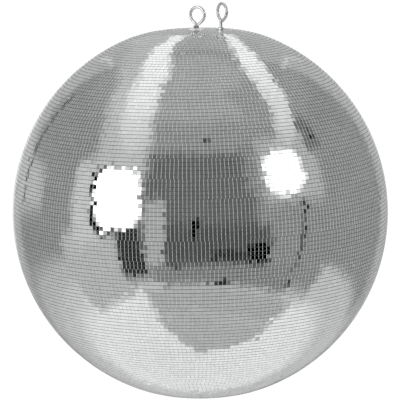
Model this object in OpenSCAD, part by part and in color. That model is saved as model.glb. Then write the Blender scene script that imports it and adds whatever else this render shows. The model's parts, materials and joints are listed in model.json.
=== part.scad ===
// Mirror ball of one metre with two bent-wire eyebolts.
// A two-part moulded core carries rows of flat glass mirror tiles from pole to pole. The poles
// are pressed a little flat. The hanging eye stands on the axis, the safety eye beside it.
// The ball is drawn around its own centre and then lowered, so that the origin is the point
// where it hangs: on the axis, level with the middle of the hanging eye's ring.

/* [Ball] */
// Overall diameter at the equator, over the mirror tiles
ball_d = 1000; // [900:10:1200]
// Radius of the tighter shoulder between the sphere and the flattened crown
shoulder_r = 335; // [300:5:380]
// Angle from the axis at which the sphere turns into the shoulder
shoulder_start = 23.8; // [20:0.2:28]
// Angle from the axis at which the shoulder turns into the crown
crown_edge = 3; // [2.5:0.1:5]

/* [Mirror tiles] */
// Side of one square tile
tile = 10; // [8:0.5:12]
// Smallest gap between two rows of tiles
tile_gap = 0.2; // [0.1:0.05:0.5]
// Thickness of the mirror glass
tile_t = 1.3; // [1:0.1:2]
// Depth of the adhesive bed under the tiles
bed_t = 0.4; // [0.3:0.1:1]
// Gap between the tiles and the fittings that they are laid around
tile_clear = 1.5; // [1:0.5:4]
// Number of groups that the rows are laid in, from the top pole to the bottom pole
zones = 14; // [12:1:20]
// Diameter of the round mirror that closes the bottom pole
pole_mirror_d = 24; // [20:1:40]

/* [Core] */
// Wall of the moulded half shells
shell_t = 2.5; // [2:0.1:4]
// Open seam between the two half shells
seam = 0.2; // [0.1:0.1:0.5]
// Height of the joining band behind the seam
band_h = 60; // [40:1:100]
// Thickness of the joining band
band_t = 2.5; // [2:0.1:4]
// Rivets in each of the band's two rows
rivets = 24; // [12:1:36]
// Diameter of a rivet's shank
rivet_d = 4; // [3:0.2:5]
// Diameter of a rivet's head and of its tail
rivet_head_d = 7.5; // [6.5:0.5:9]
// Thickness of a rivet's head and of its tail
rivet_head_t = 1.5; // [1:0.1:1.8]

/* [Pole plate and flange] */
// Thickness of the steel plate inside the crown
plate_t = 3; // [2:0.5:5]
// Width of the plate that is left outside the safety bolt
plate_margin = 20; // [15:1:30]
// Diameter of the flange under the hanging eye
flange_d = 48; // [44:1:60]
// Height of the flange over the core
flange_h = 5; // [4:0.5:6]
// Height of the flange's outer rim
flange_rim_t = 2.6; // [2:0.1:3]
// Diameter of the flange's raised seat
flange_seat_d = 24; // [20:1:30]

/* [Eyebolts] */
// Diameter of the eyebolt wire and shank
wire_d = 8; // [6:0.5:10]
// Outer diameter of an eye's ring
eye_od = 50; // [46:1:60]
// Sideways shift of the ring from its shank
eye_shift = 4.5; // [0:0.5:6]
// Bending radius over the shank
bend_r = 6; // [6:0.5:12]
// Straight leg between the bend and the ring
leg = 9; // [2:0.5:20]
// Gap between the end of the closing leg and the bend
loop_gap = 2; // [1:0.1:4]
// Straight shank between the hanging eye's top nut and its bend
hanging_neck = 1.5; // [1.5:0.1:40]
// Straight shank between the safety eye's top nut and its bend
safety_neck = 15; // [1.5:0.1:60]
// Turn of the hanging ring about its shank
hanging_turn = -30; // [-180:1:180]
// Turn of the safety ring about its shank
safety_turn = -41; // [-180:1:180]
// Distance of the safety bolt from the axis
safety_offset = 67; // [60:1:75]
// Direction of the safety bolt from the axis
safety_azimuth = -16; // [-180:1:180]

/* [Nuts and washers] */
// Width of a nut across its flats
nut_af = 13; // [13:0.5:19]
// Height of a nut
nut_h = 6.5; // [5:0.5:8]
// Diameter of the washer under the safety eye
outer_washer_d = 20; // [18:1:30]
// Thickness of the washer under the safety eye
outer_washer_t = 2; // [1.5:0.1:3]
// Diameter of the washers inside the core
inner_washer_d = 24; // [18:1:30]
// Thickness of the washers inside the core
inner_washer_t = 2; // [1.5:0.1:3]
// Length of thread that shows past a lock nut
thread_end = 3; // [1:0.5:10]

/* [Hidden] */
$fa = 3;
$fs = 0.8;
bolt_play = 0.05;     // radial running clearance of a shank in its bearing holes
shell_play = 0.5;     // radial clearance of a shank in the plastic shell
rivet_play = 0.1;     // radial clearance of a rivet in its hole
nut_play = 0.02;      // radial clearance of a nut on its thread
turn_gap = 0.1;       // gap between a face that turns and a face that doesn't
seat_gap = 0.1;       // gap between curved pieces that are bonded or clamped together
nut_chamfer = 30;     // slope of a nut's chamfered corners
bend_thinning = 0.1;  // loss of the wire's radius where it's bent
bend_lap = 3;         // degrees by which a bend runs into the straight wire at its ends
overrun = 1;          // length by which a cut runs past the face that it opens
crown_fn = 256;       // segments of the crown's circle
crown_lap = 0.01;     // width by which the crown runs into the shoulder
per_degree = PI / 180;

ball_r = ball_d / 2;
skin_t = tile_t + bed_t;
wire_r = wire_d / 2;
loop_r = (eye_od - wire_d) / 2;
far = 2 * ball_d;

// The meridian has three tangent arcs: sphere, shoulder and crown
shoulder_shift = ball_r - shoulder_r;
shoulder_centre = shoulder_shift * [sin(shoulder_start), cos(shoulder_start)];
crown_r = shoulder_r + shoulder_centre.x / sin(crown_edge);
crown_z = shoulder_centre.y - (crown_r - shoulder_r) * cos(crown_edge);
crown_arc = crown_r * crown_edge * per_degree;
shoulder_arc = shoulder_r * (shoulder_start - crown_edge) * per_degree;
half_arc = crown_arc + shoulder_arc + ball_r * (90 - shoulder_start) * per_degree;
pole_z = crown_z + crown_r;
core_pole_z = pole_z - skin_t;

// Angle of the surface's normal from the axis, at an arc length from the top pole
function upper_angle(s) =
    s < crown_arc ? s / crown_r / per_degree
    : s < crown_arc + shoulder_arc ? crown_edge + (s - crown_arc) / shoulder_r / per_degree
    : shoulder_start + (s - crown_arc - shoulder_arc) / ball_r / per_degree;
function surface_angle(s) = s <= half_arc ? upper_angle(s) : 180 - upper_angle(2 * half_arc - s);

// Point [radius, height] of the tiled surface at a normal's angle
function upper_point(a) =
    a < crown_edge ? [crown_r * sin(a), crown_z + crown_r * cos(a)]
    : a < shoulder_start ? shoulder_centre + shoulder_r * [sin(a), cos(a)]
    : ball_r * [sin(a), cos(a)];
function surface_point(a) =
    a <= 90 ? upper_point(a) : [upper_point(180 - a).x, -upper_point(180 - a).y];

// Normal's angle and arc length where the upper half has a given radius
function angle_at(r) =
    r < upper_point(crown_edge).x ? asin(r / crown_r)
    : r < upper_point(shoulder_start).x ? asin((r - shoulder_centre.x) / shoulder_r)
    : asin(r / ball_r);
function arc_at(r) =
    let (a = angle_at(r))
    a < crown_edge ? crown_r * a * per_degree
    : a < shoulder_start ? crown_arc + shoulder_r * (a - crown_edge) * per_degree
    : crown_arc + shoulder_arc + ball_r * (a - shoulder_start) * per_degree;

// Rows of tiles fill the meridian from the flange to the bottom pole's mirror
first_arc = arc_at(flange_d / 2 + tile_clear);
last_arc = 2 * half_arc - arc_at(pole_mirror_d / 2 + tile_clear);
rows = floor((last_arc - first_arc) / (tile + tile_gap));
pitch = (last_arc - first_arc) / rows;

// The safety bolt stands square to the surface
safety_angle = angle_at(safety_offset);
safety_arc = arc_at(safety_offset);
cut_r = outer_washer_d / 2 + tile_clear;
plate_r = safety_offset + plate_margin;

// Levels under the core's surface, at a bolt
plate_under = shell_t + seat_gap + plate_t;
inner_washer_under = plate_under + seat_gap + inner_washer_t;
nut_under = inner_washer_under + turn_gap + nut_h;
lock_nut_under = nut_under + nut_h;
shank_under = lock_nut_under + thread_end;

// An eye is a ring with two straight legs that run down together over its shank. One leg goes
// on through a reverse bend into the shank, and the other closes the eye.
eye_reach = norm([bend_r + loop_r, leg]);
bend_drop = sqrt(eye_reach ^ 2 - (bend_r + eye_shift) ^ 2);
leg_angle = asin((bend_r + loop_r) / eye_reach) - atan((bend_r + eye_shift) / bend_drop);
leg_side = [cos(leg_angle), sin(leg_angle)];

// The closing leg ends where its inner edge comes within the gap of the bend
closing_way = -[leg_side.y, leg_side.x];
closing_start = [bend_r + eye_shift, bend_drop] + (loop_r - wire_r) * [leg_side.x, -leg_side.y];
closing_reach = -closing_start * closing_way;
closing_leg = closing_reach - sqrt(closing_reach ^ 2 - closing_start * closing_start
                                   + (bend_r + wire_r + loop_gap) ^ 2);

// Height of each ring's middle over the core's surface
hanging_stand = flange_h + turn_gap + nut_h + hanging_neck + bend_drop;
safety_stand = outer_washer_t + turn_gap + nut_h + safety_neck + bend_drop;

// The origin is the hanging point
origin_z = core_pole_z + hanging_stand;

function zone_name(i) = str("mirror_rows_", i < 9 ? "0" : "", i + 1);

// ---- Frames ----

// The ball's own centre, below the hanging point
module in_ball() {
    translate([0, 0, -origin_z]) children();
}

// The core's surface at the hanging bolt, with the bolt along Z
module at_hanging_bolt() {
    translate([0, 0, -hanging_stand]) children();
}

// The core's surface at the safety bolt, with the bolt along Z
module at_safety_bolt() {
    p = upper_point(safety_angle) - skin_t * [sin(safety_angle), cos(safety_angle)];
    in_ball() rotate([0, 0, safety_azimuth]) translate([p.x, 0, p.y])
        rotate([0, safety_angle, 0]) children();
}

// ---- Shapes that repeat ----

// Sector of the half section between two angles from the axis
module sector(from, to) {
    middle = (from + to) / 2;
    polygon([[0, 0],
             far * [sin(from), cos(from)],
             far * [sin(middle), cos(middle)],
             far * [sin(to), cos(to)]]);
}

// Filled half section of the upper half, with its surface a given depth under the tiles' faces
module half_section(depth) {
    crown_foot = crown_lap - crown_z * tan(crown_edge);
    intersection() {
        circle(r = ball_r - depth);
        sector(shoulder_start, 90);
    }
    translate(shoulder_centre) intersection() {
        circle(r = shoulder_r - depth);
        sector(crown_edge, shoulder_start);
    }
    intersection() {
        translate([0, crown_z]) circle(r = crown_r - depth, $fn = crown_fn);
        polygon([[0, 0], [crown_foot, 0], [crown_foot + far * tan(crown_edge), far], [0, far]]);
    }
}

// Half section of a wall between two depths
module wall_section(depth, thickness) {
    difference() {
        half_section(depth);
        half_section(depth + thickness);
    }
}

module half_shell() {
    rotate_extrude() intersection() {
        wall_section(skin_t, shell_t);
        translate([0, seam / 2]) square(far);
    }
}

// Copies at the rivets of one row, each with Z outward from the core's outer surface
module at_rivets(side) {
    lift = asin(side * band_h / 4 / ball_r);
    for (i = [0 : rivets - 1])
        rotate([0, 0, i * 360 / rivets]) rotate([0, 90 - lift, 0])
            translate([0, 0, ball_r - skin_t]) children();
}

// Countersunk head and shank, grown by a clearance
module rivet_body(play, length) {
    translate([0, 0, -length]) cylinder(r = rivet_d / 2 + play, h = length - seat_gap);
    translate([0, 0, -rivet_head_t - seat_gap])
        cylinder(r1 = rivet_d / 2 + play, r2 = rivet_head_d / 2 + play, h = rivet_head_t);
}

module rivet_hole() {
    rivet_body(rivet_play, shell_t + seat_gap + band_t + overrun);
    translate([0, 0, -seat_gap]) cylinder(r = rivet_head_d / 2 + rivet_play, h = overrun);
}

module rivet() {
    grip = shell_t + seat_gap + band_t + seat_gap;
    rivet_body(0, grip + rivet_head_t);
    translate([0, 0, -grip - rivet_head_t]) cylinder(d = rivet_head_d, h = rivet_head_t);
}

// Hexagon nut with chamfered corners, standing on Z = 0
module nut() {
    corner_r = nut_af / 2 / cos(30);
    drop = (corner_r - nut_af / 2) * tan(nut_chamfer);
    difference() {
        intersection() {
            cylinder(r = corner_r, h = nut_h, $fn = 6);
            rotate_extrude()
                polygon([[0, 0], [nut_af / 2, 0], [corner_r, drop],
                         [corner_r, nut_h - drop], [nut_af / 2, nut_h], [0, nut_h]]);
        }
        translate([0, 0, -overrun]) cylinder(r = wire_r + nut_play, h = nut_h + 2 * overrun);
    }
}

module washer(d, t) {
    difference() {
        cylinder(d = d, h = t);
        translate([0, 0, -overrun]) cylinder(r = wire_r + bolt_play, h = t + 2 * overrun);
    }
}

// Arc of bent wire in the XZ plane, from one angle above X to another
module wire_arc(bend, from, to) {
    rotate([90, 0, 0]) rotate([0, 0, from - bend_lap])
        rotate_extrude(angle = to - from + 2 * bend_lap)
            translate([bend, 0]) circle(r = wire_r - bend_thinning);
}

// Shank, reverse bend and eye, with the ring's middle at a height over the core
module eyebolt(stand) {
    shank_top = stand - bend_drop;
    translate([0, 0, -shank_under]) cylinder(r = wire_r, h = shank_under + shank_top);
    translate([-bend_r, 0, shank_top]) {
        wire_arc(bend_r, 0, leg_angle);
        translate([bend_r * leg_side.x, 0, bend_r * leg_side.y])
            rotate([0, -leg_angle, 0]) cylinder(r = wire_r, h = leg);
    }
    translate([eye_shift, 0, stand]) {
        wire_arc(loop_r, -leg_angle, 180 + leg_angle);
        translate([loop_r * leg_side.x, 0, -loop_r * leg_side.y])
            rotate([0, 180 + leg_angle, 0]) cylinder(r = wire_r, h = closing_leg);
    }
}

// One row of tiles, as a flat-faced ring at an arc length from the top pole
module tile_row(s) {
    a = surface_angle(s);
    p = surface_point(a);
    along = tile / 2 * [cos(a), -sin(a)];
    inward = -tile_t * [sin(a), cos(a)];
    rotate_extrude() polygon([p - along, p + along, p + along + inward, p - along + inward]);
}

// ---- Core ----

module upper_shell() {
    color("gray") difference() {
        in_ball() half_shell();
        in_ball() at_rivets(1) rivet_hole();
        at_hanging_bolt() translate([0, 0, -plate_under])
            cylinder(r = wire_r + shell_play, h = 2 * plate_under);
        at_safety_bolt() translate([0, 0, -plate_under])
            cylinder(r = wire_r + shell_play, h = 2 * plate_under);
    }
}

module lower_shell() {
    color("dimgray") in_ball() difference() {
        mirror([0, 0, 1]) half_shell();
        at_rivets(-1) rivet_hole();
    }
}

module joining_band() {
    color("slategray") in_ball() difference() {
        rotate_extrude() {
            intersection() {
                wall_section(skin_t + shell_t + seat_gap, band_t);
                square([far, band_h / 2]);
            }
            mirror([0, 1]) intersection() {
                wall_section(skin_t + shell_t + seat_gap, band_t);
                square([far, band_h / 2]);
            }
        }
        at_rivets(1) rivet_hole();
        at_rivets(-1) rivet_hole();
    }
}

module band_rivets() {
    color("silver") in_ball() {
        at_rivets(1) rivet();
        at_rivets(-1) rivet();
    }
}

module pole_plate() {
    color("lightsteelblue") difference() {
        in_ball() rotate_extrude() intersection() {
            wall_section(skin_t + shell_t + seat_gap, plate_t);
            square([plate_r, far]);
        }
        at_hanging_bolt() translate([0, 0, -2 * plate_under])
            cylinder(r = wire_r + bolt_play, h = 2 * plate_under);
        at_safety_bolt() translate([0, 0, -2 * plate_under])
            cylinder(r = wire_r + bolt_play, h = 2 * plate_under);
    }
}

// Dished plate with a raised seat for the top nut and a rim that stands on the core
module pole_flange() {
    bore_r = wire_r + bolt_play;
    rim_r = flange_d / 2;
    rim_w = flange_rim_t;
    edge = flange_rim_t / 3;
    color("gainsboro") at_hanging_bolt() rotate_extrude()
        polygon([[bore_r, 0], [rim_r - rim_w, 0], [rim_r, edge], [rim_r, flange_rim_t - edge],
                 [rim_r - edge, flange_rim_t], [rim_r - rim_w, flange_rim_t],
                 [flange_seat_d / 2, flange_h], [bore_r, flange_h]]);
}

// ---- Hanging eye ----

module hanging_eyebolt() {
    color("silver") at_hanging_bolt() rotate([0, 0, hanging_turn]) eyebolt(hanging_stand);
}

module hanging_top_nut() {
    color("darkgray") at_hanging_bolt() translate([0, 0, flange_h + turn_gap]) nut();
}

module hanging_inner_washer() {
    color("silver") at_hanging_bolt() translate([0, 0, -inner_washer_under])
        washer(inner_washer_d, inner_washer_t);
}

module hanging_nut() {
    color("darkgray") at_hanging_bolt() translate([0, 0, -nut_under]) nut();
}

module hanging_lock_nut() {
    color("gray") at_hanging_bolt() translate([0, 0, -lock_nut_under]) nut();
}

// ---- Safety eye ----

module safety_eyebolt() {
    color("silver") at_safety_bolt() rotate([0, 0, safety_turn]) eyebolt(safety_stand);
}

module safety_outer_washer() {
    color("gainsboro") at_safety_bolt() washer(outer_washer_d, outer_washer_t);
}

module safety_top_nut() {
    color("darkgray") at_safety_bolt() translate([0, 0, outer_washer_t + turn_gap]) nut();
}

module safety_inner_washer() {
    color("silver") at_safety_bolt() translate([0, 0, -inner_washer_under])
        washer(inner_washer_d, inner_washer_t);
}

module safety_nut() {
    color("darkgray") at_safety_bolt() translate([0, 0, -nut_under]) nut();
}

module safety_lock_nut() {
    color("gray") at_safety_bolt() translate([0, 0, -lock_nut_under]) nut();
}

// ---- Mirror tiles ----

// Rows of one group, from the top pole down, left out around the safety bolt's washer
module mirror_rows(zone) {
    first = floor(zone * rows / zones);
    last = floor((zone + 1) * rows / zones) - 1;
    for (i = [first : last]) {
        s = first_arc + (i + 0.5) * pitch;
        color([0.7 + 0.02 * (zone % 2), 0.74, 0.78]) difference() {
            in_ball() tile_row(s);
            if (abs(s - safety_arc) < cut_r + pitch)
                at_safety_bolt() translate([0, 0, -skin_t])
                    cylinder(r = cut_r, h = 2 * (skin_t + overrun));
        }
    }
}

module bottom_pole_mirror() {
    color("lightblue") in_ball() translate([0, 0, -pole_z]) cylinder(d = pole_mirror_d, h = tile_t);
}

upper_shell();
lower_shell();
joining_band();
band_rivets();
pole_plate();
pole_flange();
hanging_eyebolt();
hanging_top_nut();
hanging_inner_washer();
hanging_nut();
hanging_lock_nut();
safety_eyebolt();
safety_outer_washer();
safety_top_nut();
safety_inner_washer();
safety_nut();
safety_lock_nut();
bottom_pole_mirror();
for (i = [0 : zones - 1])
    mirror_rows(i);
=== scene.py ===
import json
import math

import bpy
import numpy as np
from mathutils import Matrix, Vector


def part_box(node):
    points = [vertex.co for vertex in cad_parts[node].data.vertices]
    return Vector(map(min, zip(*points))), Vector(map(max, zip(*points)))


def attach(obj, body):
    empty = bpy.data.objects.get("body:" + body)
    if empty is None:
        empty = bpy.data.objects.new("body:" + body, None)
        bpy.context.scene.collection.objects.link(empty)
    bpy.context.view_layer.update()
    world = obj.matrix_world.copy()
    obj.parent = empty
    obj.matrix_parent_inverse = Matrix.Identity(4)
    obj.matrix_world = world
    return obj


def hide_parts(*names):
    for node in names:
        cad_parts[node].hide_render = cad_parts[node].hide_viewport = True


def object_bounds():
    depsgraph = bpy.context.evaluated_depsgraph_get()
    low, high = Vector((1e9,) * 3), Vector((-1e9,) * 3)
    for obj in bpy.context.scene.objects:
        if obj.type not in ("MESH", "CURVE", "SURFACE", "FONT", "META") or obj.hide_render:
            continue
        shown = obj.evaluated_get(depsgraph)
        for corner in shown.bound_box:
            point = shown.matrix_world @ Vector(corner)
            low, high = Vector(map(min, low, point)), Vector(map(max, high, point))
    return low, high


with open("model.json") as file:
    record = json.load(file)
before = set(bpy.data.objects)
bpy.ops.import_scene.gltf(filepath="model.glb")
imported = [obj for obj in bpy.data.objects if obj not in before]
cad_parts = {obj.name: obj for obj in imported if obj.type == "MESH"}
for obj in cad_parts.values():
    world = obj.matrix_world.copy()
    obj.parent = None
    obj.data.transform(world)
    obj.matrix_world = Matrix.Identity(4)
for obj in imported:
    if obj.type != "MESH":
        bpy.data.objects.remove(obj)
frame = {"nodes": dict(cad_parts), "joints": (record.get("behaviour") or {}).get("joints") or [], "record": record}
cad_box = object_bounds()

MM = 0.001
rng = np.random.default_rng(1000)

# ---- Sizes, in metres ----

# The ball's centre is level with the middle of the joining band
band_low, band_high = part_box("joining_band")
BALL_CENTRE = Vector((0.0, 0.0, (band_low.z + band_high.z) / 2))
BALL_R = max(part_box(n)[1].x for n in frame["nodes"] if n.startswith("mirror_rows"))

# Tiles: width and height of the face and of the foot, as the cut glass has chamfered edges, then
# the width of a column, the chamfer's and the whole tile's depth, and the room round a washer
TILE_FACE = np.array([9.3, 9.05]) * MM
TILE_FOOT = np.array([10.0, 9.65]) * MM
TILE_COLUMN = 10.16 * MM
TILE_CHAMFER = 0.17 * MM
TILE_DEPTH = 1.6 * MM
WASHER_CLEAR = 0.5 * MM

# How unevenly the tiles are laid, in degrees and in metres
TILE_TILT = 0.5
ROW_TILT = 0.12
WAVE_TILT = 0.35
LOOSE_TILT = 2.0
LOOSE_SHARE = 0.012
TILE_TWIST = 0.25
TILE_SLIP = 0.04 * MM

# Rows laid as one course: how many at most, and how much their radii may differ
LONGEST_COURSE = 10
COURSE_SPREAD = 0.035

# Least cosine between the radius and the normal of a tile's face, and least angle in radians
# between the end of one row and the start of the next
FACING_OUT = 0.9
ROW_STEP = 5e-5

# Unevenness of the core: number of waves, spread of their rates, largest phase, spread of their size
WAVE_COUNT = 7
WAVE_RATE = 9
WAVE_PHASE = 6.3
WAVE_SIZE = 0.5

# Eyebolts: the ring's sideways shift and its turn, the wire, the bend, the legs and the thread
WIRE_R = 4.0 * MM
RING_R = 21.0 * MM
RING_SHIFT = 4.5 * MM
HANGING_TURN = -30.0
BEND_R = 6.0 * MM
LEG = 9.0 * MM
LOOP_GAP = 2.0 * MM
SHANK_UNDER = 23.8 * MM
THREAD_PITCH = 1.25 * MM
THREAD_DEPTH = 0.6 * MM
THREAD_ABOVE_NUT = 1.0 * MM
THREAD_PLAY = 0.03 * MM
RINGS_PER_TURN = 8
WIRE_SIDES = 48
WIRE_STEP = 0.8 * MM
WIRE_CHAMFER = 0.7 * MM
BEND_STEPS = 9
LEG_STEPS = 10
RING_STEPS = 120
CLOSING_STEPS = 16

# A thread's ridge over one pitch: its height at the middle before it is cut to 1, and how steeply
# it falls to either side
THREAD_CREST = 1.35
THREAD_FLANK = 2.7

# Nuts, washers and flange. A nut's land and its broken corners are shares of its full size
NUT_AF = 13.0 * MM
NUT_LAND = 0.95
NUT_CORNER = 0.985
NUT_EDGE = 0.35 * MM
NUT_CHAMFER_ANGLE = 30.0
WASHER_EDGE = 0.3 * MM
FLANGE_EDGE = 0.8 * MM
NUT_BORE_R = 4.02 * MM
WASHER_BORE_R = 4.05 * MM
FLANGE_H = 5.0 * MM
FLANGE_RIM_T = 2.6 * MM
FLANGE_SEAT_R = 12.0 * MM

# ---- Camera ----

CAMERA_DISTANCE = 5.7
CAMERA_ELEVATION = 9.5
CAMERA_ROLL = -1.25
CAMERA_LENS = 191.8
AIM_ABOVE_CENTRE = 0.0309


def make_camera():
    """Camera in front of the ball. Returns its turn, which the studio shares."""
    elevation = math.radians(CAMERA_ELEVATION)
    away = Vector((0.0, -math.cos(elevation), math.sin(elevation)))
    up = Vector((0.0, math.sin(elevation), math.cos(elevation)))
    place = BALL_CENTRE + CAMERA_DISTANCE * away
    look = BALL_CENTRE + AIM_ABOVE_CENTRE * up - place
    data = bpy.data.cameras.new("camera")
    data.sensor_width = 36.0
    data.lens = CAMERA_LENS
    data.clip_end = 100.0
    camera = bpy.data.objects.new("camera", data)
    roll = Matrix.Rotation(math.radians(CAMERA_ROLL), 3, "Z")
    turn = look.to_track_quat("-Z", "Y").to_matrix() @ roll
    camera.matrix_world = Matrix.Translation(place) @ turn.to_4x4()
    bpy.context.scene.collection.objects.link(camera)
    bpy.context.scene.camera = camera
    return turn


# ---- Materials ----


class Material:
    """A node material with one Principled shader, and short calls for its nodes."""

    def __init__(self, name, colour, metallic, roughness):
        self.data = bpy.data.materials.new(name)
        self.data.use_nodes = True
        self.nodes = self.data.node_tree.nodes
        self.links = self.data.node_tree.links
        self.shader = self.nodes["Principled BSDF"]
        self.shader.inputs["Base Color"].default_value = (*colour, 1.0)
        self.shader.inputs["Metallic"].default_value = metallic
        self.shader.inputs["Roughness"].default_value = roughness
        coordinates = self.nodes.new("ShaderNodeTexCoord")
        self.place = coordinates.outputs["Object"]

    def noise(self, scale, detail=4.0, stretch=None):
        node = self.nodes.new("ShaderNodeTexNoise")
        node.inputs["Scale"].default_value = scale
        node.inputs["Detail"].default_value = detail
        place = self.place
        if stretch:
            mapping = self.nodes.new("ShaderNodeMapping")
            mapping.inputs["Scale"].default_value = stretch
            self.links.new(place, mapping.inputs["Vector"])
            place = mapping.outputs["Vector"]
        self.links.new(place, node.inputs["Vector"])
        return node.outputs["Fac"]

    def attribute(self, name):
        node = self.nodes.new("ShaderNodeAttribute")
        node.attribute_name = name
        return node.outputs["Fac"]

    def ramp(self, value, low, high, start=0.3, end=0.7):
        """A value mapped to a range, or to a range of colours where low and high are colours."""
        node = self.nodes.new("ShaderNodeValToRGB")
        colours = [c if isinstance(c, tuple) else (c, c, c) for c in (low, high)]
        for element, colour, position in zip(node.color_ramp.elements, colours, (start, end)):
            element.color = (*colour, 1.0)
            element.position = position
        self.links.new(value, node.inputs["Fac"])
        return node.outputs["Color"]

    def multiply(self, first, second):
        node = self.nodes.new("ShaderNodeMix")
        node.data_type = "RGBA"
        node.blend_type = "MULTIPLY"
        node.inputs["Factor"].default_value = 1.0
        self.links.new(first, node.inputs["A"])
        self.links.new(second, node.inputs["B"])
        return node.outputs["Result"]

    def colour(self, value):
        self.links.new(value, self.shader.inputs["Base Color"])

    def roughness(self, value):
        self.links.new(value, self.shader.inputs["Roughness"])

    def bump(self, value, distance, strength=1.0):
        node = self.nodes.new("ShaderNodeBump")
        node.inputs["Distance"].default_value = distance
        node.inputs["Strength"].default_value = strength
        self.links.new(value, node.inputs["Height"])
        self.links.new(node.outputs["Normal"], self.shader.inputs["Normal"])


def mirror_glass():
    """Silvered glass: each tile a little lighter or darker, with a thin film of dust."""
    m = Material("mirror_glass", (0.9, 0.91, 0.92), 1.0, 0.03)
    batch = m.ramp(m.attribute("tile_shade"), (0.84, 0.85, 0.855), (0.93, 0.935, 0.94), 0.0, 1.0)
    dust = m.ramp(m.noise(9.0, 6.0), 0.95, 1.0)
    m.colour(m.multiply(batch, dust))
    m.roughness(m.ramp(m.noise(160.0, 3.0), 0.012, 0.05))
    return m.data


def glass_edge(name, dark, light, metallic, roughness):
    """Cut edge of the tiles with the adhesive in the joint beside it, made in copies whose colours hold painted
    light and painted shade: light for the upright edges, dark for the level ones.
    """
    m = Material(name, light, metallic, roughness)
    m.colour(m.ramp(m.noise(900.0, 3.0), dark, light))
    m.roughness(m.ramp(m.noise(1500.0, 2.0), 0.8 * roughness, 1.2 * roughness))
    return m.data


def core_plastic():
    """Moulded grey plastic with a fine grain."""
    m = Material("core_plastic", (0.4, 0.4, 0.41), 0.0, 0.5)
    m.colour(m.ramp(m.noise(14.0, 5.0), (0.34, 0.34, 0.35), (0.45, 0.45, 0.46)))
    m.roughness(m.ramp(m.noise(300.0, 2.0), 0.42, 0.62))
    m.bump(m.noise(2200.0, 2.0), 0.05 * MM)
    return m.data


def rivet_metal():
    """Aluminium with the marks of the setting tool."""
    m = Material("rivet_metal", (0.75, 0.75, 0.76), 1.0, 0.35)
    m.colour(m.ramp(m.noise(400.0, 3.0), (0.66, 0.66, 0.67), (0.82, 0.82, 0.83)))
    m.roughness(m.ramp(m.noise(900.0, 2.0), 0.28, 0.5))
    m.bump(m.noise(1200.0, 2.0), 0.04 * MM)
    return m.data


def zinc_sheet():
    """Rolled and zinc plated steel, with the grain of the sheet along one way."""
    m = Material("zinc_sheet", (0.6, 0.6, 0.62), 1.0, 0.35)
    m.colour(m.ramp(m.noise(60.0, 4.0), (0.52, 0.52, 0.54), (0.68, 0.68, 0.69)))
    m.roughness(m.ramp(m.noise(500.0, 3.0, (0.08, 1.0, 1.0)), 0.26, 0.48))
    m.bump(m.noise(900.0, 2.0, (0.05, 1.0, 1.0)), 0.03 * MM)
    return m.data


def bright_zinc():
    """Bright plated pressing, dulled in patches."""
    m = Material("bright_zinc", (0.88, 0.88, 0.9), 0.55, 0.3)
    m.colour(m.ramp(m.noise(120.0, 4.0), (0.82, 0.82, 0.84), (0.93, 0.93, 0.94)))
    m.roughness(m.ramp(m.noise(260.0, 4.0), 0.22, 0.4))
    m.bump(m.noise(700.0, 2.0), 0.02 * MM)
    return m.data


def bright_wire():
    """Plated wire with the fine draw lines and rub marks of use."""
    m = Material("bright_wire", (0.82, 0.82, 0.83), 0.9, 0.2)
    m.colour(m.ramp(m.noise(180.0, 4.0), (0.74, 0.74, 0.75), (0.9, 0.9, 0.91)))
    m.roughness(m.ramp(m.noise(420.0, 4.0), 0.14, 0.28))
    m.bump(m.noise(650.0, 3.0), 0.02 * MM)
    return m.data


def nut_steel():
    """Zinc plated nuts and washers, duller than the wire and marked by a spanner."""
    m = Material("nut_steel", (0.62, 0.62, 0.63), 1.0, 0.32)
    m.colour(m.ramp(m.noise(250.0, 4.0), (0.5, 0.5, 0.51), (0.72, 0.72, 0.73)))
    m.roughness(m.ramp(m.noise(500.0, 3.0), 0.22, 0.45))
    m.bump(m.noise(800.0, 3.0), 0.04 * MM)
    return m.data


# ---- Mesh pieces ----


def make_piece(name, points, faces, materials, body, replaced, smooth=True):
    mesh = bpy.data.meshes.new(name)
    mesh.from_pydata(np.asarray(points).tolist(), [], faces)
    for material in materials:
        mesh.materials.append(material)
    mesh.polygons.foreach_set("use_smooth", [smooth] * len(mesh.polygons))
    mesh.validate()
    mesh.update()
    piece = bpy.data.objects.new(name, mesh)
    bpy.context.scene.collection.objects.link(piece)
    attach(piece, body)
    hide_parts(*replaced)
    return piece


def grid_faces(rings, around, first_cap=False, last_cap=False):
    """Quads of a closed tube of rings, with a face over either end."""
    faces = []
    for i in range(rings - 1):
        for j in range(around):
            k = (j + 1) % around
            faces.append((i * around + j, i * around + k, (i + 1) * around + k, (i + 1) * around + j))
    if first_cap:
        faces.append(tuple(reversed(range(around))))
    if last_cap:
        faces.append(tuple(range((rings - 1) * around, rings * around)))
    return faces


# ---- Mirror tiles ----


def rows_of(node):
    """The rows of a CAD node from the top down, each as its two edges (radius, height)."""
    mesh = frame["nodes"][node].data
    co = np.empty(len(mesh.vertices) * 3)
    mesh.vertices.foreach_get("co", co)
    co = co.reshape(-1, 3)
    half = np.c_[np.hypot(co[:, 0], co[:, 1]), co[:, 2] - BALL_CENTRE.z]
    angle = np.arctan2(half[:, 0], half[:, 1])
    spans = []
    for face in mesh.polygons:
        middle = face.center - BALL_CENTRE
        if face.normal.dot(middle.normalized()) > FACING_OUT:
            around = list(face.vertices)
            spans.append((angle[around].min(), angle[around].max(), around))
    spans.sort(key=lambda span: span[0])
    rows = []
    reach = -1.0
    for low, high, around in spans:
        if low > reach + ROW_STEP:
            rows.append([])
        reach = max(reach, high)
        rows[-1].extend(around)
    edges = []
    for row in rows:
        order = sorted(set(row), key=lambda v: angle[v])
        edges.append((half[order[0]], half[order[-1]]))
    return edges


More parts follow.
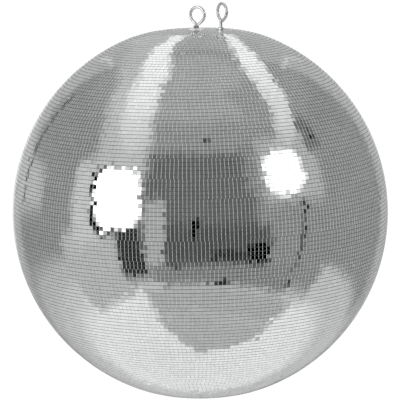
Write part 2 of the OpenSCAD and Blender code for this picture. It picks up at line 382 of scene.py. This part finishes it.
def lay_courses(rows):
    """Count and phase of the columns of each row. Rows of one course share them."""
    radii = np.array([min(top[0], bottom[0]) for top, bottom in rows])
    columns = []
    while len(columns) < len(rows):
        first = len(columns)
        length = 1
        wanted = rng.integers(2, LONGEST_COURSE + 1)
        while length < wanted and first + length < len(rows):
            part = radii[first:first + length + 1]
            if part.max() / part.min() > 1 + COURSE_SPREAD:
                break
            length += 1
        count = int(2 * math.pi * radii[first:first + length].min() / TILE_COLUMN)
        phase = rng.uniform(0, 2 * math.pi / count)
        columns += [(count, phase)] * length
    return columns


def waves(direction):
    """A smooth unevenness of the core, as two tilts at each direction from the centre."""
    tilts = np.zeros((len(direction), 2))
    for axis, phase, size in WAVES:
        swing = np.sin(direction @ axis + phase)
        tilts += size * swing[:, None]
    return tilts


def row_tiles(top, bottom, count, phase):
    """Twelve corners of each tile in a row: of its face, under its chamfer, and of its foot."""
    middle = (top + bottom) / 2
    down = (bottom - top) / np.linalg.norm(bottom - top)
    azimuth = phase + np.arange(count) * 2 * math.pi / count
    east = np.c_[-np.sin(azimuth), np.cos(azimuth), np.zeros(count)]
    radial = np.c_[np.cos(azimuth), np.sin(azimuth), np.zeros(count)]
    level = np.array([0.0, 0.0, 1.0])
    south = down[0] * radial + down[1] * level
    out = -down[1] * radial + down[0] * level
    centre = middle[0] * radial + middle[1] * level
    tilt = rng.normal(0, TILE_TILT, (count, 2))
    tilt[:, 1] += rng.normal(0, ROW_TILT)
    loose = rng.random(count) < LOOSE_SHARE
    tilt[loose] = rng.normal(0, LOOSE_TILT, (loose.sum(), 2))
    tilt = np.radians(tilt + WAVE_TILT * waves(centre / BALL_R))
    twist = np.radians(rng.normal(0, TILE_TWIST, count))[:, None]
    slip = rng.normal(0, TILE_SLIP, (count, 2))
    across = east + twist * south + tilt[:, :1] * out
    across /= np.linalg.norm(across, axis=1)[:, None]
    along = south - twist * east + tilt[:, 1:] * out
    along -= (along * across).sum(1)[:, None] * across
    along /= np.linalg.norm(along, axis=1)[:, None]
    normal = np.cross(along, across)
    centre = centre + slip[:, :1] * across + slip[:, 1:] * along
    corners = []
    for size, depth in ((TILE_FACE, 0.0), (TILE_FOOT, TILE_CHAMFER), (TILE_FOOT, TILE_DEPTH)):
        for x, y in ((-1, -1), (1, -1), (1, 1), (-1, 1)):
            x, y = size / 2 * (x, y)
            corners.append(centre + x * across + y * along - depth * normal)
    return np.stack(corners, axis=1) + np.array(BALL_CENTRE)


WAVES = [(rng.normal(0, WAVE_RATE, 3), rng.uniform(0, WAVE_PHASE), rng.normal(0, WAVE_SIZE, 2))
         for _ in range(WAVE_COUNT)]

# A tile's quads over the twelve corners of row_tiles, and the material of each: 0 for the face, 1 for the upright
# edges between two tiles of a row, coloured with painted light,
# 2 for the level edges between two rows and the foot, coloured with painted shade
TILE_FACES = np.array([(3, 2, 1, 0), (8, 9, 10, 11),
                       (0, 1, 5, 4), (1, 2, 6, 5), (2, 3, 7, 6), (3, 0, 4, 7),
                       (4, 5, 9, 8), (5, 6, 10, 9), (6, 7, 11, 10), (7, 4, 8, 11)])
TILE_SLOTS = np.array([0, 2, 2, 1, 2, 1, 2, 1, 2, 1])


def lay_tiles(materials):
    """One piece of separate tiles for each zone, with the tiles left out that meet the washer."""
    zones = sorted(n for n in frame["nodes"] if n.startswith("mirror_rows"))
    rows = {zone: rows_of(zone) for zone in zones}
    columns = lay_courses([row for zone in zones for row in rows[zone]])
    washer_low, washer_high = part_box("safety_outer_washer")
    washer = np.array((washer_low + washer_high) / 2)[:2]
    keep_out = (washer_high.x - washer_low.x) / 2 + WASHER_CLEAR
    done = 0
    for zone in zones:
        corners = []
        for top, bottom in rows[zone]:
            corners.append(row_tiles(top, bottom, *columns[done]))
            done += 1
        tiles = np.concatenate(corners)
        middle = tiles[:, :4].mean(axis=1)
        nearest = np.linalg.norm(middle[:, :2] - washer, axis=1)
        touching = (nearest < keep_out + TILE_FACE.min() / 2) & (middle[:, 2] > BALL_CENTRE.z)
        tiles = tiles[~touching]
        count = len(tiles)
        faces = (TILE_FACES[None] + 12 * np.arange(count)[:, None, None]).reshape(-1, 4)
        piece = make_piece(zone.replace("mirror_rows", "tiles"), tiles.reshape(-1, 3), faces.tolist(),
                           materials, "ball", [zone], smooth=False)
        mesh = piece.data
        mesh.polygons.foreach_set("material_index", np.tile(TILE_SLOTS, count))
        shade = mesh.attributes.new("tile_shade", "FLOAT", "FACE")
        shade.data.foreach_set("value", np.repeat(rng.random(count), len(TILE_FACES)))
        mesh.update()


# ---- Wire, turned and pressed pieces ----


class Bolt:
    """The place of an eyebolt at the core, its axis, its ring's height and the way its ring leans."""

    def __init__(self, name, side=None):
        joint = next(j for j in frame["joints"] if j["name"] == name + "_eye_turn")
        mount = next(m for m in frame["record"]["mounts"] if m["name"] == name + "_eye")
        self.name = name
        self.body = name + "_eye"
        self.place = Vector(joint["pos_m"])
        self.axis = Vector(joint["axis"]).normalized()
        arm = Vector(mount["pos_m"]) - self.place
        self.stand = arm.dot(self.axis)
        self.side = (side or arm - self.stand * self.axis).normalized()
        self.back = self.axis.cross(self.side)

    def level(self, node):
        """Heights of a node's lowest and highest points over the core, along the axis."""
        heights = [(v.co - self.place).dot(self.axis) for v in frame["nodes"][node].data.vertices]
        return min(heights), max(heights)

    def turned(self, node, suffix, outline, material, body, slot, around=96, smooth=True):
        """A ring round the axis, whose outline of (radius, height) points is a function of the angle."""
        points = []
        rings = len(outline(0.0))
        for j in range(around):
            angle = 2 * math.pi * j / around
            way = math.cos(angle) * self.side + math.sin(angle) * self.back
            points += [self.place + height * self.axis + radius * way for radius, height in outline(angle)]
        faces = []
        for j in range(around):
            k = (j + 1) % around
            for i in range(rings):
                n = (i + 1) % rings
                faces.append((j * rings + i, k * rings + i, k * rings + n, j * rings + n))
        return make_piece(node + suffix, points, faces, [material], body, [node], smooth)


def rounded(corners, steps=4):
    """A closed outline whose (radius, height, rounding) corners are arcs between close points."""
    outline = []
    for i, (x, y, fillet) in enumerate(corners):
        here = Vector((x, y))
        before = (Vector(corners[i - 1][:2]) - here).normalized()
        after = (Vector(corners[(i + 1) % len(corners)][:2]) - here).normalized()
        outline.append(tuple(here + 1.15 * fillet * before))
        for k in range(steps + 1):
            t = k / steps
            outline.append(tuple((1 - t) ** 2 * (here + fillet * before) + 2 * t * (1 - t) * here
                                 + t ** 2 * (here + fillet * after)))
        outline.append(tuple(here + 1.15 * fillet * after))
    return outline


def add_washer(bolt, node, material):
    """Flat washer with its edges broken."""
    low, high = bolt.level(node)
    mesh = frame["nodes"][node].data
    out = max((v.co - bolt.place).cross(bolt.axis).length for v in mesh.vertices)
    edge = WASHER_EDGE
    outline = rounded([(WASHER_BORE_R, low, edge), (out, low, edge), (out, high, edge),
                       (WASHER_BORE_R, high, edge)])
    bolt.turned(node, "_pressed", lambda angle: outline, material, "ball", "fixings")


def add_nut(bolt, node, material):
    """Hexagon nut with chamfered faces and broken corners, turned a little at random."""
    low, high = bolt.level(node)
    start = rng.uniform(0, math.pi / 3)
    land = NUT_LAND * NUT_AF / 2
    edge = NUT_EDGE
    slope = math.tan(math.radians(NUT_CHAMFER_ANGLE))

    def outline(angle):
        part = (angle - start + math.pi / 6) % (math.pi / 3) - math.pi / 6
        flat = min(NUT_AF / 2 / math.cos(part), NUT_CORNER * NUT_AF / 2 / math.cos(math.pi / 6))
        drop = (flat - land) * slope
        return [(NUT_BORE_R, low + edge), (NUT_BORE_R + edge, low), (land, low),
                (flat - edge / 4, low + drop), (flat, low + drop + edge / 2),
                (flat, high - drop - edge / 2), (flat - edge / 4, high - drop),
                (land, high), (NUT_BORE_R + edge, high), (NUT_BORE_R, high - edge)]

    bolt.turned(node, "_hex", outline, material, bolt.body, "fixings", 144, smooth=False)


def add_flange(bolt, node, material):
    """Dished flange with soft pressed edges."""
    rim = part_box(node)[1].x - bolt.place.x
    inner = rim - FLANGE_RIM_T
    edge = FLANGE_EDGE
    outline = rounded([(WASHER_BORE_R, 0.0, 0.2 * MM), (inner, 0.0, 0.3 * MM), (rim, edge, edge),
                       (rim, FLANGE_RIM_T, edge), (inner, FLANGE_RIM_T, edge),
                       (FLANGE_SEAT_R, FLANGE_H, edge), (WASHER_BORE_R, FLANGE_H, 0.4 * MM)])
    bolt.turned(node, "_pressed", lambda angle: outline, material, "ball", "flange", 128)


def spaced(start, end, count, endpoint=False):
    return np.linspace(start, end, count, endpoint=endpoint).tolist()


def wire_path(stand, thread_top):
    """Stations of an eyebolt's wire: (x, height, tangent's angle from the axis, radius, threaded)."""
    reach = math.hypot(BEND_R + RING_R, LEG)
    drop = math.sqrt(reach ** 2 - (BEND_R + RING_SHIFT) ** 2)
    lean = math.asin((BEND_R + RING_R) / reach) - math.atan((BEND_R + RING_SHIFT) / drop)
    cos, sin = math.cos(lean), math.sin(lean)
    stations = []
    height = -SHANK_UNDER
    step = THREAD_PITCH / RINGS_PER_TURN
    count = round((thread_top - height) / step)
    for i in range(count + 1):
        z = height + i * step
        stations.append((0.0, z, 0.0, WIRE_R - max(0.0, WIRE_CHAMFER - i * step), True))
    top = stand - drop
    for z in spaced(height + (count + 1) * step, top, max(3, int((top - thread_top) / WIRE_STEP))):
        stations.append((0.0, z, 0.0, WIRE_R, False))
    for angle in spaced(0, lean, BEND_STEPS):
        stations.append((BEND_R * (math.cos(angle) - 1), top + BEND_R * math.sin(angle),
                         angle, WIRE_R, False))
    start = (BEND_R * (cos - 1), top + BEND_R * sin)
    for t in spaced(0, LEG, LEG_STEPS):
        stations.append((start[0] - t * sin, start[1] + t * cos, lean, WIRE_R, False))
    for angle in spaced(math.pi + lean, -lean, RING_STEPS, True):
        stations.append((RING_SHIFT + RING_R * math.cos(angle), stand + RING_R * math.sin(angle),
                         angle - math.pi, WIRE_R, False))
    inner = (BEND_R + RING_SHIFT + (RING_R - WIRE_R) * cos, drop - (RING_R - WIRE_R) * sin)
    along = inner[0] * sin + inner[1] * cos
    close = along - math.sqrt(along ** 2 - inner[0] ** 2 - inner[1] ** 2
                              + (BEND_R + WIRE_R + LOOP_GAP) ** 2)
    end = (RING_SHIFT + RING_R * cos, stand - RING_R * sin)
    back = -lean - math.pi
    for t in spaced(0, close, CLOSING_STEPS, True)[1:]:
        chamfer = max(0.0, WIRE_CHAMFER - (close - t))
        stations.append((end[0] - t * sin, end[1] - t * cos, back, WIRE_R - chamfer, False))
    return stations


def add_eyebolt(bolt, node, material):
    """Wire swept along the eye, with a rolled right-handed thread on the lower shank."""
    thread_top = bolt.level(bolt.name + "_top_nut")[1] + THREAD_ABOVE_NUT
    stations = wire_path(bolt.stand, thread_top)
    points = []
    for x, z, lean, radius, threaded in stations:
        centre = bolt.place + x * bolt.side + z * bolt.axis
        out = math.cos(lean) * bolt.side + math.sin(lean) * bolt.axis
        for j in range(WIRE_SIDES):
            angle = 2 * math.pi * j / WIRE_SIDES
            r = radius
            if threaded:
                turn = (z / THREAD_PITCH - j / WIRE_SIDES) % 1.0
                ridge = min(1.0, max(0.0, THREAD_CREST - THREAD_FLANK * abs(turn - 0.5)))
                fade = min(1.0, (thread_top - z) / THREAD_PITCH)
                r = min(radius, WIRE_R - THREAD_PLAY - THREAD_DEPTH * max(0.0, fade) * (1 - ridge))
            points.append(centre + r * (math.cos(angle) * out + math.sin(angle) * bolt.back))
    faces = grid_faces(len(stations), WIRE_SIDES, first_cap=True, last_cap=True)
    make_piece(node + "_threaded", points, faces, [material], bolt.body, [node])


camera_turn = make_camera()
MIRROR = mirror_glass()
# The upright and level edges are one cut glass. The upright copy is painted light and the level copy is painted
# dark as shade, for the way light falls on each, not for their own colour.
UPRIGHT_EDGE_PAINTED_LIT = glass_edge("upright_edge_painted_lit", (0.6, 0.62, 0.61), (0.82, 0.85, 0.84), 0.0, 0.5)
LEVEL_EDGE_PAINTED_SHADE = glass_edge("level_edge_painted_shade", (0.1, 0.1, 0.1), (0.26, 0.27, 0.26), 1.0, 0.35)
WIRE = bright_wire()
FIXINGS = nut_steel()
FLANGE = bright_zinc()
lay_tiles([MIRROR, UPRIGHT_EDGE_PAINTED_LIT, LEVEL_EDGE_PAINTED_SHADE])
turn = math.radians(HANGING_TURN)
hanging = Bolt("hanging", Vector((math.cos(turn), math.sin(turn), 0.0)))
safety = Bolt("safety")
add_flange(hanging, "pole_flange", FLANGE)
add_washer(safety, "safety_outer_washer", FIXINGS)
for bolt in (hanging, safety):
    add_eyebolt(bolt, bolt.name + "_eyebolt", WIRE)
    add_washer(bolt, bolt.name + "_inner_washer", FIXINGS)
    for nut in ("top_nut", "nut", "lock_nut"):
        add_nut(bolt, bolt.name + "_" + nut, FIXINGS)

# CAD nodes that stay as they are, with their material
FINISHES = [
    (core_plastic(), ("upper_shell", "lower_shell", "joining_band")),
    (rivet_metal(), ("band_rivets",)),
    (zinc_sheet(), ("pole_plate",)),
    (MIRROR, ("bottom_pole_mirror",)),
]
for material, nodes in FINISHES:
    for node in nodes:
        mesh = frame["nodes"][node].data
        mesh.materials.clear()
        mesh.materials.append(material)

# ---- Studio ----

# Soft lights and dark flags as seen from the ball, turned with the camera: from and to azimuth,
# from and to elevation, in degrees with the camera at 0, then radiance, edge softness and corners
STUDIO = [
    ("ceiling", -180, 180, 44, 90, 0.33, 12, 0),
    ("ceiling front", -90, 40, 54, 76, 0.41, 10, 0),
    ("ceiling top", -180, 180, 72, 90, 0.44, 10, 0),
    ("back wall", 140, 220, -14, 66, 0.45, 10, 5),
    ("back glow", 160, 250, 0, 14, 0.52, 8, 3),
    ("back glow middle", 168, 202, -4, 11, 0.88, 8, 3),
    ("left rise", -215, -54, -70, -17, 0.5, 10, 4),
    ("left rise low", -215, -54, -70, -28, 0.62, 10, 4),
    ("right rise", 86, 180, -60, -23, 0.6, 8, 4),
    ("floor", -180, 180, -90, -41, 0.9, 14, 0),
    ("front floor", -30, 66, -44, -28, 0.24, 6, 4),
    ("front floor far", -44, 78, -62, -43, 0.45, 9, 4),
    ("front floor near", -48, 83, -90, -60, 0.48, 7, 0),
    ("front top", -34, 38, 30, 47, 0.31, 6, 3),
    ("front", -34, 34, -26, 33, 0.14, 9, 4),
    ("front right", 27, 40, 12, 36, 0.25, 6, 3),
    ("front low", -22, 43, -30, -6, 0.085, 9, 3),
    ("front bar", 8, 34, -27, -22, 0.03, 3, 1),
    ("stool", -22, -12, -31, -29, 0.0, 1, 0),
    ("reflector", -33, -21.5, -28, 7, 0.44, 2, 1),
    ("left low", -92, -52, -46, -8, 0.5, 6, 3),
    ("left halo", -82, -60, -14, 24, 0.62, 9, 5),
    ("left halo top", -70, -34, 20, 44, 0.56, 10, 4),
    ("left frame", -68, -46, -11, 23, 0.0, 1.5, 8),
    ("left flag", -51, -36, -34, -8, 0.03, 3, 1),
    ("left softbox", -65, -36, -9, 22, 2.6, 2, 9),
    ("right halo", 37, 80, 6, 40, 0.48, 10, 6),
    ("right softbox", 41, 66, 10, 31, 2.6, 6, 9),
    ("left seam", -134, -131, 2, 34, 0.1, 1.5, 0),
    ("right flag", 31, 44, -28, -17, 0.0, 2, 1),
    ("right dark", 76, 88, 28, 44, 0.17, 5, 3),
    ("right clamp", 84, 87, 33, 37, 0.0, 1, 0),
    ("top clamp", 3, 6, 41, 43, 0.0, 1, 0),
    ("stand", -5, -1, -15, -3, 0.0, 0.8, 0),
    ("cable", 5, 22, -42.2, -40.8, 0.0, 0.6, 0),
    ("pole", 63, 65, -40, 6, 0.02, 1, 0),
]
# Long soft lights overhead, as stations of azimuth, elevation, half width and radiance
STRIPS = [
    [(-172, 32, 5, 0.55), (-165, 46, 6, 0.56), (-145, 58, 8, 0.55), (-112, 66, 10, 0.6),
     (-80, 60, 12, 0.62), (-66, 48, 11, 0.56), (-64, 34, 8, 0.5)],
    [(-177, 33, 1.0, 1.15), (-171, 47, 1.6, 1.15), (-149, 63, 3.6, 1.1), (-110, 71, 6, 1.05),
     (-72, 64, 8, 0.98), (-56, 54, 9, 0.85), (-49, 42, 9, 0.72), (-49, 30, 8, 0.55)],
    [(177, 32, 1.0, 1.15), (167, 50, 1.8, 1.15), (149, 61, 3.8, 1.1), (118, 65, 5.5, 1.0),
     (88, 58, 6, 0.86), (69, 44, 5.5, 0.72), (60, 34, 5, 0.52)],
    [(-158, 30, 0.5, 0.7), (-150, 40, 0.6, 0.7), (-138, 47, 0.8, 0.5)],
    [(158, 30, 0.5, 0.7), (150, 42, 0.7, 0.75), (136, 50, 1.0, 0.6)],
]
STRIP_STEPS = 16
DOME_R = 9.0
DOME_COLUMNS = 360
DOME_RINGS = 181
BASE_RADIANCE = 0.27
WORLD_RADIANCE = 1.2
FLOOR_HALF = 30.0
FLOOR_UNDER_BALL = 0.34


def smooth_step(value):
    value = np.clip(value, 0, 1)
    return value * value * (3 - 2 * value)


def direction(azimuth, elevation):
    a, e = np.radians(azimuth), np.radians(elevation)
    return np.stack([np.sin(a) * np.cos(e), np.sin(e), np.cos(a) * np.cos(e)], axis=-1)


def studio_radiance(azimuth, elevation):
    light = np.full(azimuth.shape, BASE_RADIANCE)
    for _, west, east, low, high, radiance, soft, corner in STUDIO:
        x = np.abs((azimuth - (west + east) / 2 + 180) % 360 - 180) - (east - west) / 2 + corner
        y = np.abs(elevation - (low + high) / 2) - (high - low) / 2 + corner
        if east - west >= 360:
            x = np.full(x.shape, -90.0)
        outside = np.hypot(np.maximum(x, 0), np.maximum(y, 0)) + np.minimum(np.maximum(x, y), 0)
        cover = smooth_step(0.5 - (outside - corner) / soft)
        light += cover * (radiance - light)
    way = direction(azimuth, elevation)
    for strip in STRIPS:
        cover, glow = np.zeros(light.shape), np.zeros(light.shape)
        for start, end in zip(strip, strip[1:]):
            ends = direction(*np.array([start[:2], end[:2]], float).T)
            for t in spaced(0, 1, STRIP_STEPS):
                middle = (1 - t) * ends[0] + t * ends[1]
                width, radiance = (1 - t) * np.array(start[2:]) + t * np.array(end[2:])
                angle = np.degrees(np.arccos(np.clip(way @ middle / np.linalg.norm(middle), -1, 1)))
                here = smooth_step(0.5 - (angle - width) / (0.6 * width + 0.8))
                glow = np.where(here > cover, radiance, glow)
                cover = np.maximum(cover, here)
        light = np.maximum(light, light + cover * (glow - light))
    return light


def make_dome(turn):
    """A dome of soft light round the ball that only reflections see."""
    azimuth = np.linspace(-180, 180, DOME_COLUMNS, endpoint=False)
    elevation = np.linspace(-90, 90, DOME_RINGS)
    az, el = np.meshgrid(azimuth, elevation)
    points = DOME_R * direction(az.ravel(), el.ravel()) @ np.array(turn).T + np.array(BALL_CENTRE)
    mesh = bpy.data.meshes.new("studio_dome")
    mesh.from_pydata(points.tolist(), [], grid_faces(DOME_RINGS, DOME_COLUMNS))
    light = studio_radiance(az.ravel(), el.ravel())
    glow = mesh.attributes.new("glow", "FLOAT", "POINT")
    glow.data.foreach_set("value", light)
    dome = bpy.data.objects.new("studio_dome", mesh)
    bpy.context.scene.collection.objects.link(dome)
    material = bpy.data.materials.new("studio_dome")
    material.use_nodes = True
    nodes, links = material.node_tree.nodes, material.node_tree.links
    nodes.clear()
    value = nodes.new("ShaderNodeAttribute")
    value.attribute_name = "glow"
    emission = nodes.new("ShaderNodeEmission")
    output = nodes.new("ShaderNodeOutputMaterial")
    links.new(value.outputs["Fac"], emission.inputs["Strength"])
    links.new(emission.outputs["Emission"], output.inputs["Surface"])
    material.cycles.emission_sampling = "NONE"
    mesh.materials.append(material)
    dome.visible_camera = False
    dome.visible_diffuse = False
    dome.visible_shadow = False
    dome.visible_transmission = False


def make_floor():
    under = cad_box[0].z - FLOOR_UNDER_BALL
    corners = [(x * FLOOR_HALF, y * FLOOR_HALF, under) for x, y in ((-1, -1), (1, -1), (1, 1), (-1, 1))]
    mesh = bpy.data.meshes.new("floor")
    mesh.from_pydata(corners, [], [(0, 1, 2, 3)])
    floor = bpy.data.objects.new("floor", mesh)
    bpy.context.scene.collection.objects.link(floor)
    paint = Material("floor_paint", (0.9, 0.9, 0.9), 0.0, 0.8)
    paint.shader.inputs["Specular IOR Level"].default_value = 0.0
    mesh.materials.append(paint.data)
    floor.visible_glossy = False


def make_world():
    world = bpy.data.worlds.new("studio")
    world.use_nodes = True
    background = world.node_tree.nodes["Background"]
    background.inputs["Color"].default_value = (1.0, 1.0, 1.0, 1.0)
    background.inputs["Strength"].default_value = WORLD_RADIANCE
    bpy.context.scene.world = world


make_dome(camera_turn)
make_floor()
make_world()
bpy.context.scene.view_settings.view_transform = "Standard"
